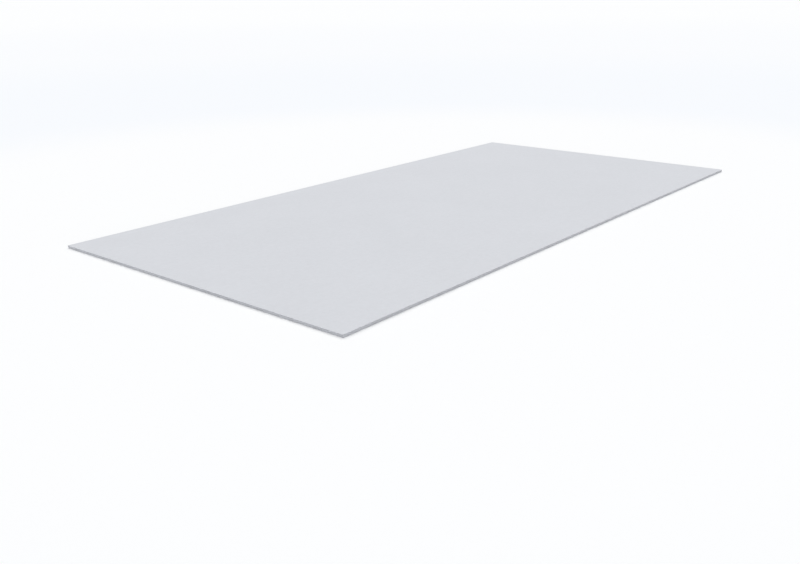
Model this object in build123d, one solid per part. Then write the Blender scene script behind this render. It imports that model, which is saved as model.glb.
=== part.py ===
from build123d import *
import os

# Coated polystyrene board, one full sheet of building board lying flat.
#
# A flat rectangular sheet: a foamed polystyrene core that leaves the line with a
# thin hard mineral coat bonded to both faces, trimmed square on all four edges.
# It is handled, cut and fixed as one piece of stock, so it is one solid.
#
# Frame: +Z up, +Y along the sheet's length, +X across its width.
# Origin: centre of the bottom face, the face the sheet lies on.

# ---- driving dimensions, millimetres ----
SHEET_WIDTH = 1220.0      # X, the 4 ft side
SHEET_LENGTH = 2440.0     # Y, the 8 ft side
SHEET_THICKNESS = 9.0     # Z, core and both coats together
ARRIS = 0.3               # eased edge all round both faces, where the coat breaks at the trim cut
CORNER_EASE = 0.5         # the four upright corners, knocked back a little by the saw

# ---- the sheet ----
blank = Box(
    SHEET_WIDTH,
    SHEET_LENGTH,
    SHEET_THICKNESS,
    align=(Align.CENTER, Align.CENTER, Align.MIN),
)

# the four upright corners
sheet = chamfer(blank.edges().filter_by(Axis.Z), CORNER_EASE)

# the arris round the bottom face and round the top face
sheet = chamfer(sheet.faces().sort_by(Axis.Z)[0].edges(), ARRIS)
sheet = chamfer(sheet.faces().sort_by(Axis.Z)[-1].edges(), ARRIS)

board = sheet.solids()[0]
board.label = "board"

# ---- written out ----
os.makedirs("parts", exist_ok=True)
export_step(board, "parts/board.step")

box = board.bounding_box()
print("board", "volume mm3", round(board.volume), "size", box.size, "low corner", box.min)
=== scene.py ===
import math

import bpy
import numpy as np
from mathutils import Matrix, Vector


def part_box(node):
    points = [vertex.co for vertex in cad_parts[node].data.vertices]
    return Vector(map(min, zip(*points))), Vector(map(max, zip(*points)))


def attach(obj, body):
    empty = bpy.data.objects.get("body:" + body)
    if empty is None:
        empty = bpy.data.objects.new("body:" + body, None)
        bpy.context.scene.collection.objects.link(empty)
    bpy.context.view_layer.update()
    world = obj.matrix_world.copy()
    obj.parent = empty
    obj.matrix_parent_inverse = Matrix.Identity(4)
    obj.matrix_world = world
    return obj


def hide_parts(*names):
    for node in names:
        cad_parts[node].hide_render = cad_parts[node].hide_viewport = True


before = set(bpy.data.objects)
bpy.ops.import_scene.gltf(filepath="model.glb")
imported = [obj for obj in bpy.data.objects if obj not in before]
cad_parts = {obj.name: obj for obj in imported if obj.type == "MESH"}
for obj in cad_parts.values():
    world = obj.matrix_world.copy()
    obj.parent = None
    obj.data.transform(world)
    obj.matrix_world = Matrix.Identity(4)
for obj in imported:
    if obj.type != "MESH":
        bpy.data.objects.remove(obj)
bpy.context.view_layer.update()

# ---------------------------------------------------------------- camera
# 800 x 564 frame, 36 mm wide sensor. The place and the turn are in the
# board's own frame, in metres.
LENS_MM = 38.4932
EYE = Vector((1.9160243, -2.5668661, 0.7773549))
AHEAD = Vector((-0.6079063, 0.7253199, -0.3230495)).normalized()
ROLL_DEG = -0.658

level_right = AHEAD.cross(Vector((0, 0, 1))).normalized()
level_up = level_right.cross(AHEAD).normalized()
roll = math.radians(ROLL_DEG)
cam_x = level_right * math.cos(roll) + level_up * math.sin(roll)
cam_y = -level_right * math.sin(roll) + level_up * math.cos(roll)
cam_z = -AHEAD

camera_data = bpy.data.cameras.new("camera")
camera_data.sensor_fit = "HORIZONTAL"
camera_data.sensor_width = 36.0
camera_data.lens = LENS_MM
camera_data.clip_start = 0.05
camera_data.clip_end = 2000.0
camera_data.dof.use_dof = False
camera = bpy.data.objects.new("camera", camera_data)
bpy.context.scene.collection.objects.link(camera)
camera.matrix_world = Matrix((
    (cam_x.x, cam_y.x, cam_z.x, EYE.x),
    (cam_x.y, cam_y.y, cam_z.y, EYE.y),
    (cam_x.z, cam_y.z, cam_z.z, EYE.z),
    (0, 0, 0, 1),
))
bpy.context.scene.camera = camera

# ---------------------------------------------------------------- the board
# One closed mesh. A cut edge is a strip of columns round the outline: the
# bottom coat's lip, a shallow step in to the foamed core, the core with its
# cut relief, the step out and the top coat's lip. The two faces are flat and
# filled by rings of ever larger facets.
MM = 0.001
low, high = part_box("board")
half_w = (high.x - low.x) / 2 / MM
half_l = (high.y - low.y) / 2 / MM
thick = (high.z - low.z) / MM
mid_x, mid_y, base_z = (low.x + high.x) / 2, (low.y + high.y) / 2, low.z

ARRIS = 0.30            # rounding of the coat's outer edge
COAT = 0.66             # coat thickness
CORE_BACK = 0.26        # how far the cut foam lies behind the coat's edge
CORNER_R = 0.60         # rounding of the four corners, in plan
N_SHORT, N_LONG = 800, 1600
RINGS = 5               # each ring has half as many facets as the last
SEED = 1220

rng = np.random.default_rng(SEED)


def ring(x, y, n_short, n_long):
    """Corner points and side points of a rectangle, counter-clockwise from (-x, -y), and where each is round it, from 0 to 4."""
    a = np.arange(n_short) / n_short
    b = np.arange(n_long) / n_long
    px = np.concatenate([-x + 2 * x * a, np.full(n_long, x), x - 2 * x * a, np.full(n_long, -x)])
    py = np.concatenate([np.full(n_short, -y), -y + 2 * y * b, np.full(n_short, y), y - 2 * y * b])
    t = np.concatenate([a, 1 + b, 2 + a, 3 + b])
    return np.stack([px, py], 1), t


def outline():
    """The board's outline with rounded corners: points, inward normals, and where each is round it."""
    pts, t = ring(half_w, half_l, N_SHORT, N_LONG)
    inward = {0: (0, 1), 1: (-1, 0), 2: (0, -1), 3: (1, 0)}
    corner_at = {0: (-1, -1), 1: (1, -1), 2: (1, 1), 3: (-1, 1)}
    side_length = (2 * half_w, 2 * half_l, 2 * half_w, 2 * half_l)
    out_p, out_n, out_t = [], [], []
    for p, u in zip(pts, t):
        side = int(u)
        if u == side:
            sx, sy = corner_at[side]
            cx, cy = sx * (half_w - CORNER_R), sy * (half_l - CORNER_R)
            start = math.radians(180 + 90 * side)
            before, after = side_length[(side - 1) % 4], side_length[side]
            for turn, place in ((0.0, -CORNER_R / before), (45.0, 0.0), (90.0, CORNER_R / after)):
                ang = start + math.radians(turn)
                d = np.array([math.cos(ang), math.sin(ang)])
                out_p.append([cx + CORNER_R * d[0], cy + CORNER_R * d[1]])
                out_n.append(-d)
                out_t.append(u + place)
        else:
            out_p.append(p)
            out_n.append(inward[side])
            out_t.append(u)
    return np.array(out_p), np.array(out_n, float), np.array(out_t)


def smooth_noise(rows, cols, along, across):
    """Seeded noise of about unit spread on a strip that closes on itself, with the given correlation lengths in samples."""
    white = rng.standard_normal((rows * 3, cols))
    fu = np.fft.fftfreq(cols)[None, :]
    fv = np.fft.fftfreq(rows * 3)[:, None]
    keep = np.exp(-2 * (math.pi * along * fu) ** 2 - 2 * (math.pi * across * fv) ** 2)
    out = np.fft.ifft2(np.fft.fft2(white) * keep).real[rows:2 * rows]
    return out / out.std()


edge_p, edge_n, edge_t = outline()
n_cols = len(edge_p)

# Rows of the edge strip, from the bottom face to the top face: height and inset.
lip = COAT - 0.02
core_rows = np.linspace(COAT + 0.62, thick - COAT - 0.62, 9)
heights = np.concatenate([
    [0.0, ARRIS, lip, COAT + 0.08], core_rows,
    [thick - COAT - 0.08, thick - lip, thick - ARRIS, thick]])
n_rows = len(heights)
z = np.repeat(heights[:, None], n_cols, 1)
inset = np.zeros((n_rows, n_cols))
inset[0] = inset[-1] = ARRIS
first_core, last_core = 3, n_rows - 4

# The coat's trimmed edge is a little uneven, and so is its thickness.
for rows, face in (((1, 2), 0), ((n_rows - 2, n_rows - 3), n_rows - 1)):
    wave = smooth_noise(1, n_cols, 1.0, 0.0)[0]
    slow = smooth_noise(1, n_cols, 40.0, 0.0)[0]
    ragged = 0.030 + 0.016 * wave + 0.012 * slow
    ragged = np.clip(ragged, 0.0, 0.12)
    inset[rows[0]] += ragged
    inset[rows[1]] += ragged * 1.2
    inset[face] += ragged
    under = 0.05 * smooth_noise(1, n_cols, 1.5, 0.0)[0] + 0.03 * smooth_noise(1, n_cols, 30.0, 0.0)[0]
    under = np.clip(under, -0.12, 0.12)
    sign = 1 if rows[0] < n_rows / 2 else -1
    z[rows[1]] += sign * under
    z[rows[1] + sign] += sign * under

# The cut foam: a fine torn-cell relief, faint waves from the blade and a few
# shallow pits, all lying behind the coat's edge.
n_core = last_core - first_core + 1
fine = smooth_noise(n_core, n_cols, 0.55, 0.6)
coarse = smooth_noise(n_core, n_cols, 2.6, 1.6)
blade = smooth_noise(1, n_cols, 9.0, 0.0)
relief = 0.045 * fine + 0.035 * coarse + 0.03 * blade
pits = smooth_noise(n_core, n_cols, 0.9, 0.8)
relief += 0.16 * np.clip(pits - 2.1, 0, 1.2)
relief = np.clip(relief, -0.12, 0.32)
inset[first_core:last_core + 1] += CORE_BACK + relief
depth = np.zeros((n_rows, n_cols))
depth[first_core:last_core + 1] = relief

xy = edge_p[None] + edge_n[None] * inset[..., None]
strip = np.concatenate([xy, z[..., None]], 2).reshape(-1, 3)

verts = [strip]
depths = [depth.reshape(-1)]
quads, tris = [], []
quad_rows = []
cols = np.arange(n_cols)
nxt = np.roll(cols, -1)
for r in range(n_rows - 1):
    a, b = r * n_cols, (r + 1) * n_cols
    quads.append(np.stack([a + cols, a + nxt, b + nxt, b + cols], 1))
    quad_rows.append(np.full(n_cols, r))

count = len(strip)


def zipper(outer, outer_t, inner, inner_t, up):
    """Triangles between two closed loops that run the same way, outer before inner."""
    out = []
    i = j = 0
    n, m = len(outer), len(inner)
    while i < n or j < m:
        next_o = outer_t[i + 1] if i + 1 < n else outer_t[0] + 4 if i < n else 1e9
        next_i = inner_t[j + 1] if j + 1 < m else inner_t[0] + 4 if j < m else 1e9
        o, q = outer[i % n], inner[j % m]
        if i < n and (next_o <= next_i or j >= m):
            tri = (o, outer[(i + 1) % n], q)
            i += 1
        else:
            tri = (o, inner[(j + 1) % m], q)
            j += 1
        out.append(tri if up else tri[::-1])
    return out


# Both faces. The first loop is the edge strip's own first or last row.
for up in (False, True):
    level = thick if up else 0.0
    row = (n_rows - 1 if up else 0) * n_cols
    loop = list(range(row, row + n_cols))
    loop_t = edge_t
    inset_by = 1.2
    n_s, n_l = N_SHORT, N_LONG
    for k in range(RINGS):
        n_s, n_l = n_s // 2, n_l // 2
        inset_by += 3.0 * 2 ** k
        pts, t = ring(half_w - inset_by, half_l - inset_by, n_s, n_l)
        verts.append(np.concatenate([pts, np.full((len(pts), 1), level)], 1))
        depths.append(np.zeros(len(pts)))
        new_loop = list(range(count, count + len(pts)))
        count += len(pts)
        tris += zipper(loop, loop_t, new_loop, t, up)
        loop, loop_t = new_loop, t
    # The middle is a grid of quads whose rim is the last ring.
    gx = np.linspace(-(half_w - inset_by), half_w - inset_by, n_s + 1)
    gy = np.linspace(-(half_l - inset_by), half_l - inset_by, n_l + 1)
    index = np.full((n_s + 1, n_l + 1), -1)
    index[:n_s, 0] = loop[:n_s]
    index[n_s, :n_l] = loop[n_s:n_s + n_l]
    index[n_s:0:-1, n_l] = loop[n_s + n_l:2 * n_s + n_l]
    index[0, n_l:0:-1] = loop[2 * n_s + n_l:]
    inner = [(i, j) for i in range(1, n_s) for j in range(1, n_l)]
    for m, (i, j) in enumerate(inner):
        index[i, j] = count + m
    verts.append(np.array([[gx[i], gy[j], level] for i, j in inner]))
    depths.append(np.zeros(len(inner)))
    count += len(inner)
    a, b = index[:-1, :-1].ravel(), index[1:, :-1].ravel()
    c, d = index[1:, 1:].ravel(), index[:-1, 1:].ravel()
    grid = np.stack([a, b, c, d], 1) if up else np.stack([d, c, b, a], 1)
    quads.append(grid)
    quad_rows.append(np.full(len(grid), -1))

verts = np.concatenate(verts) * MM + np.array([mid_x, mid_y, base_z])
quads = np.concatenate(quads)
quad_rows = np.concatenate(quad_rows)
tris = np.array(tris)

mesh = bpy.data.meshes.new("board_sheet")
mesh.vertices.add(len(verts))
mesh.vertices.foreach_set("co", verts.astype(np.float32).ravel())
n_loops = quads.size + tris.size
mesh.loops.add(n_loops)
mesh.loops.foreach_set("vertex_index", np.concatenate([quads.ravel(), tris.ravel()]).astype(np.int32))
mesh.polygons.add(len(quads) + len(tris))
starts = np.concatenate([np.arange(len(quads)) * 4, quads.size + np.arange(len(tris)) * 3])
mesh.polygons.foreach_set("loop_start", starts.astype(np.int32))
slot_of_quad = np.where(
    quad_rows < 0, 0,
    np.where((quad_rows < 2) | (quad_rows >= n_rows - 3), 1, 2))
slots = np.concatenate([slot_of_quad, np.zeros(len(tris), int)])
mesh.polygons.foreach_set("material_index", slots.astype(np.int32))
smooth = np.concatenate([quad_rows >= 0, np.zeros(len(tris), bool)])
mesh.polygons.foreach_set("use_smooth", smooth)
mesh.update(calc_edges=True)
mesh.validate()
cut = mesh.attributes.new("cut_depth", "FLOAT", "POINT")
cut.data.foreach_set("value", np.concatenate(depths).astype(np.float32))

# A map for the export's textures: the two faces side by side, and beside them
# the cut edges as six upright strips, each 1220 mm long.
GAP = 0.004
FACE_WIDE = 0.400
STRIP_FROM = 3 * GAP + 2 * FACE_WIDE
STRIP_WIDE = (1 - GAP - STRIP_FROM) / 6 - GAP
along = np.append(edge_t, edge_t[0] + 4)
middle = (along[:-1] + along[1:]) / 2
side_of = np.floor(middle).astype(int) % 4
long_side = side_of % 2
half_of = np.where(long_side, np.floor((middle - np.floor(middle)) * 2).astype(int), 0)
strip_of = np.array([0, 1, 3, 4])[side_of] + half_of
strip_start = np.floor(middle) + half_of / 2
stretch = np.where(long_side, 2.0, 1.0)
begin = np.clip((along[:-1] - strip_start) * stretch, -0.002, 1.002)
end = np.clip((along[1:] - strip_start) * stretch, -0.002, 1.002)
step = np.hypot(np.diff(z.mean(1)), np.diff(inset.mean(1)))
across = np.concatenate([[0.0], np.cumsum(step)]) / step.sum()
uv_strip = np.zeros((n_rows - 1, n_cols, 4, 2))
left = STRIP_FROM + strip_of * (STRIP_WIDE + GAP)
tall = 1 - 2 * GAP - 0.004
for corner, (row_up, at) in enumerate(((0, begin), (0, end), (1, end), (1, begin))):
    rows_at = across[row_up:n_rows - 1 + row_up]
    uv_strip[:, :, corner, 0] = left[None] + rows_at[:, None] * STRIP_WIDE
    uv_strip[:, :, corner, 1] = GAP + 0.002 + at[None] * tall
face_corner = np.concatenate([quads[(n_rows - 1) * n_cols:].ravel(), tris.ravel()])
at = verts[face_corner] / MM
upper = at[:, 2] > thick / 2
uv_face = np.stack([
    np.where(upper, GAP, 2 * GAP + FACE_WIDE) + (at[:, 0] / (2 * half_w) + 0.5) * FACE_WIDE,
    GAP + (at[:, 1] / (2 * half_l) + 0.5) * (1 - 2 * GAP)], 1)
uv_layer = mesh.uv_layers.new(name="OFBake")
uv_layer.data.foreach_set("uv", np.concatenate([uv_strip.reshape(-1, 2), uv_face]).astype(np.float32).ravel())

board = bpy.data.objects.new("board_sheet", mesh)
bpy.context.scene.collection.objects.link(board)


# ---------------------------------------------------------------- materials
def new_material(name):
    mat = bpy.data.materials.new(name)
    mat.use_nodes = True
    tree = mat.node_tree
    tree.nodes.clear()
    out = tree.nodes.new("ShaderNodeOutputMaterial")
    shader = tree.nodes.new("ShaderNodeBsdfPrincipled")
    tree.links.new(shader.outputs["BSDF"], out.inputs["Surface"])
    return mat, tree, shader


def noise(tree, place, scale, detail=2.0, rough=0.5, stretch=None):
    """A noise texture's value, with scale in features per metre."""
    tex = tree.nodes.new("ShaderNodeTexNoise")
    tex.inputs["Scale"].default_value = scale
    tex.inputs["Detail"].default_value = detail
    tex.inputs["Roughness"].default_value = rough
    if stretch is not None:
        mapping = tree.nodes.new("ShaderNodeMapping")
        mapping.inputs["Scale"].default_value = stretch
        tree.links.new(place, mapping.inputs["Vector"])
        place = mapping.outputs["Vector"]
    tree.links.new(place, tex.inputs["Vector"])
    return tex.outputs["Fac"]


def spread(tree, value, low_to, high_to, low_from=0.3, high_from=0.7):
    """The value mapped from the noise's usual range to another."""
    node = tree.nodes.new("ShaderNodeMapRange")
    node.inputs["From Min"].default_value = low_from
    node.inputs["From Max"].default_value = high_from
    node.inputs["To Min"].default_value = low_to
    node.inputs["To Max"].default_value = high_to
    tree.links.new(value, node.inputs["Value"])
    return node.outputs["Result"]


def math_node(tree, kind, a, b):
    node = tree.nodes.new("ShaderNodeMath")
    node.operation = kind
    for socket, x in zip(node.inputs, (a, b)):
        if isinstance(x, (int, float)):
            socket.default_value = x
        else:
            tree.links.new(x, socket)
    return node.outputs[0]


def tinted(tree, colour, shade):
    """The colour times a grey factor that is near 1."""
    node = tree.nodes.new("ShaderNodeVectorMath")
    node.operation = "SCALE"
    node.inputs[0].default_value = colour
    tree.links.new(shade, node.inputs["Scale"])
    return node.outputs[0]


def bumped(tree, shader, height, distance, strength=1.0):
    node = tree.nodes.new("ShaderNodeBump")
    node.inputs["Strength"].default_value = strength
    node.inputs["Distance"].default_value = distance
    tree.links.new(height, node.inputs["Height"])
    tree.links.new(node.outputs["Normal"], shader.inputs["Normal"])


COAT_COLOUR = (0.660, 0.676, 0.715)
# Painted light: the coat on the cut edges is a copy of the face's coat, made about one percent lighter.
LIT_EDGE_COAT_COLOUR = (0.668, 0.684, 0.723)
# The foam's own colour, made darker than the coat partly as painted shade, so that the cut edges read darker than the
# faces from every side.
CORE_COLOUR_WITH_SHADE = (0.533, 0.545, 0.580)


def dots(tree, place, per_metre, least, most, share):
    """1 inside small round spots scattered one to a cell, 0 outside. least and most are radii as parts of a cell, and share is how many cells have one."""
    tex = tree.nodes.new("ShaderNodeTexVoronoi")
    tex.feature = "F1"
    tex.inputs["Scale"].default_value = per_metre
    tree.links.new(place, tex.inputs["Vector"])
    split = tree.nodes.new("ShaderNodeSeparateColor")
    tree.links.new(tex.outputs["Color"], split.inputs["Color"])
    radius = spread(tree, split.outputs[0], -most, most, 1 - 2 * share, 1.0)
    radius = math_node(tree, "MINIMUM", radius, most)
    edge = math_node(tree, "SUBTRACT", radius, tex.outputs["Distance"])
    return spread(tree, edge, 0.0, 1.0, 0.0, least)


def coat_material(name, colour, grain):
    """The thin mineral coat: matt, pale and cool grey, with an even sand grain, a few pinholes darkened with painted
    shade, and the faintest cloudiness.
    """
    mat, tree, shader = new_material(name)
    place = tree.nodes.new("ShaderNodeTexCoord").outputs["Object"]
    clouds = spread(tree, noise(tree, place, 3.1, 4.0, 0.55), 0.989, 1.011)
    drawn = spread(tree, noise(tree, place, 420.0, 3.0, 0.6, (1.0, 0.02, 1.0)), 0.990, 1.010)
    mottle = spread(tree, noise(tree, place, 75.0, 4.0, 0.65), 0.982, 1.018)
    sand_value = noise(tree, place, 1700.0, 3.0, 0.7)
    sand = spread(tree, sand_value, 1 - grain, 1 + grain)
    pin = dots(tree, place, 170.0, 0.02, 0.055, 0.35)
    shade = math_node(tree, "MULTIPLY", math_node(tree, "MULTIPLY", clouds, drawn),
                      math_node(tree, "MULTIPLY", mottle, sand))
    # Painted shade: the coat's colour falls to 0.8 inside each pinhole, where the bump below makes a dip.
    shade = math_node(tree, "MULTIPLY", shade, spread(tree, pin, 1.0, 0.80, 0.0, 1.0))
    tree.links.new(tinted(tree, colour, shade), shader.inputs["Base Color"])
    tree.links.new(spread(tree, noise(tree, place, 60.0, 4.0, 0.6), 0.80, 0.90), shader.inputs["Roughness"])
    shader.inputs["Specular IOR Level"].default_value = 0.50
    height = math_node(tree, "ADD", sand_value,
                       math_node(tree, "MULTIPLY", noise(tree, place, 260.0, 2.0, 0.5), 1.5))
    height = math_node(tree, "SUBTRACT", height, math_node(tree, "MULTIPLY", pin, 1.2))
    bumped(tree, shader, height, 0.00030)
    return mat


def core_material(name, colour):
    """The cut foam: fine closed cells, with painted shade that darkens the middle of each cell, where the bump makes a
    hollow, and the places where the cut relief lies deeper.
    """
    mat, tree, shader = new_material(name)
    place = tree.nodes.new("ShaderNodeTexCoord").outputs["Object"]
    cells = tree.nodes.new("ShaderNodeTexVoronoi")
    cells.feature = "DISTANCE_TO_EDGE"
    cells.inputs["Scale"].default_value = 1250.0
    tree.links.new(place, cells.inputs["Vector"])
    # Painted shade: lighter on the cell walls and darker towards each cell's middle, which the bump below sinks.
    painted_cell_shade = spread(tree, cells.outputs["Distance"], 1.07, 0.93, 0.0, 0.32)
    patch = spread(tree, noise(tree, place, 170.0, 3.0, 0.6), 0.975, 1.025)
    deep = tree.nodes.new("ShaderNodeAttribute")
    deep.attribute_name = "cut_depth"
    # Painted shade: darker where the cut relief lies deeper behind the coat's edge.
    pits = spread(tree, deep.outputs["Fac"], 1.04, 0.82, -0.10, 0.30)
    shade = math_node(tree, "MULTIPLY", math_node(tree, "MULTIPLY", painted_cell_shade, patch), pits)
    tree.links.new(tinted(tree, colour, shade), shader.inputs["Base Color"])
    tree.links.new(spread(tree, noise(tree, place, 400.0, 2.0), 0.70, 0.84), shader.inputs["Roughness"])
    shader.inputs["Specular IOR Level"].default_value = 0.35
    height = math_node(tree, "SUBTRACT", noise(tree, place, 500.0, 3.0, 0.6),
                       math_node(tree, "MULTIPLY", cells.outputs["Distance"], 1.4))
    bumped(tree, shader, height, 0.00030)
    return mat


mesh.materials.append(coat_material("coat_face", COAT_COLOUR, 0.035))
mesh.materials.append(coat_material("coat_edge", LIT_EDGE_COAT_COLOUR, 0.05))
mesh.materials.append(core_material("foam_core", CORE_COLOUR_WITH_SHADE))

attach(board, "root")
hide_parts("board")

# ---------------------------------------------------------------- floor
FLOOR_COLOUR = (0.957, 0.964, 0.972)
# Metres from the board's middle, and what the floor's colour is multiplied by there: painted shade, a faint darker and
# bluer ring 3.2 to 4.4 m out that fades back to plain white further away.
FLOOR_SHADE_STEPS = ((0.0, (1.0, 1.0, 1.0)), (2.0, (1.0, 1.0, 1.0)), (3.2, (0.956, 0.972, 0.998)), (4.4, (0.956, 0.972, 0.998)),
               (9.0, (0.980, 0.986, 0.999)), (25.0, (1.002, 1.003, 1.001)))
floor_mesh = bpy.data.meshes.new("floor")
reach = 600.0
floor_mesh.from_pydata([(-reach, -reach, base_z), (reach, -reach, base_z), (reach, reach, base_z), (-reach, reach, base_z)],
                       [], [(0, 1, 2, 3)])
floor = bpy.data.objects.new("floor", floor_mesh)
bpy.context.scene.collection.objects.link(floor)
floor_mat = bpy.data.materials.new("floor_paint_and_shade")
floor_mat.use_nodes = True
ft = floor_mat.node_tree
ft.nodes.clear()
f_out = ft.nodes.new("ShaderNodeOutputMaterial")
f_shader = ft.nodes.new("ShaderNodeBsdfDiffuse")
f_place = ft.nodes.new("ShaderNodeTexCoord").outputs["Object"]
f_far = ft.nodes.new("ShaderNodeVectorMath")
f_far.operation = "LENGTH"
ft.links.new(f_place, f_far.inputs[0])
f_steps = ft.nodes.new("ShaderNodeMapRange")
f_steps.inputs["From Max"].default_value = FLOOR_SHADE_STEPS[-1][0]
ft.links.new(f_far.outputs["Value"], f_steps.inputs["Value"])
f_ramp = ft.nodes.new("ShaderNodeValToRGB")
ft.links.new(f_steps.outputs["Result"], f_ramp.inputs["Fac"])
f_ramp.color_ramp.interpolation = "EASE"
stops = f_ramp.color_ramp.elements
while len(stops) < len(FLOOR_SHADE_STEPS):
    stops.new(0.5)
for stop, (metres, shade_tint) in zip(stops, FLOOR_SHADE_STEPS):
    stop.position = metres / FLOOR_SHADE_STEPS[-1][0]
for stop, (metres, shade_tint) in zip(stops, FLOOR_SHADE_STEPS):
    stop.color = (*[a * b for a, b in zip(FLOOR_COLOUR, shade_tint)], 1.0)
ft.links.new(f_ramp.outputs["Color"], f_shader.inputs["Color"])
ft.links.new(f_shader.outputs["BSDF"], f_out.inputs["Surface"])
floor_mesh.materials.append(floor_mat)

# ---------------------------------------------------------------- light
# A white studio: a soft overhead light, a broad soft one high behind the board,
# so that its near edges are in shade and the floor before them has a soft
# shadow, and a low fill from the front.
BEHIND = (-0.70, 0.714, 0.0)
OVERHEAD, KEY, FILL = 0.93, 5.40, 3.90
BACKDROP = (0.985, 0.992, 1.0)
world = bpy.data.worlds.new("studio")
bpy.context.scene.world = world
world.use_nodes = True
wt = world.node_tree
wt.nodes.clear()
w_out = wt.nodes.new("ShaderNodeOutputWorld")
sky = wt.nodes.new("ShaderNodeBackground")
sky.inputs["Color"].default_value = (1.0, 1.0, 1.0, 1.0)
place = wt.nodes.new("ShaderNodeTexCoord")
split = wt.nodes.new("ShaderNodeSeparateXYZ")
wt.links.new(place.outputs["Generated"], split.inputs["Vector"])
above = math_node(wt, "MAXIMUM", split.outputs["Z"], 0.0)
behind = wt.nodes.new("ShaderNodeVectorMath")
behind.operation = "DOT_PRODUCT"
behind.inputs[1].default_value = BEHIND
wt.links.new(place.outputs["Generated"], behind.inputs[0])
overhead = math_node(wt, "MULTIPLY", math_node(wt, "POWER", above, 2.2), OVERHEAD)
key = math_node(wt, "MULTIPLY", math_node(wt, "MAXIMUM", behind.outputs["Value"], 0.0), math_node(wt, "POWER", above, 1.75))
before = math_node(wt, "MAXIMUM", math_node(wt, "MULTIPLY", behind.outputs["Value"], -1.0), 0.0)
fill = math_node(wt, "MULTIPLY", math_node(wt, "POWER", before, 2.0),
                 math_node(wt, "POWER", math_node(wt, "SUBTRACT", 1.0, above), 3.0))
both = math_node(wt, "ADD", math_node(wt, "MULTIPLY", key, KEY), math_node(wt, "MULTIPLY", fill, FILL))
wt.links.new(math_node(wt, "ADD", overhead, both), sky.inputs["Strength"])
backdrop = wt.nodes.new("ShaderNodeBackground")
backdrop.inputs["Color"].default_value = (*BACKDROP, 1.0)
path = wt.nodes.new("ShaderNodeLightPath")
pick = wt.nodes.new("ShaderNodeMixShader")
wt.links.new(path.outputs["Is Camera Ray"], pick.inputs["Fac"])
wt.links.new(sky.outputs["Background"], pick.inputs[1])
wt.links.new(backdrop.outputs["Background"], pick.inputs[2])
wt.links.new(pick.outputs["Shader"], w_out.inputs["Surface"])

bpy.context.scene.view_settings.view_transform = "Standard"
bpy.context.scene.view_settings.look = "None"
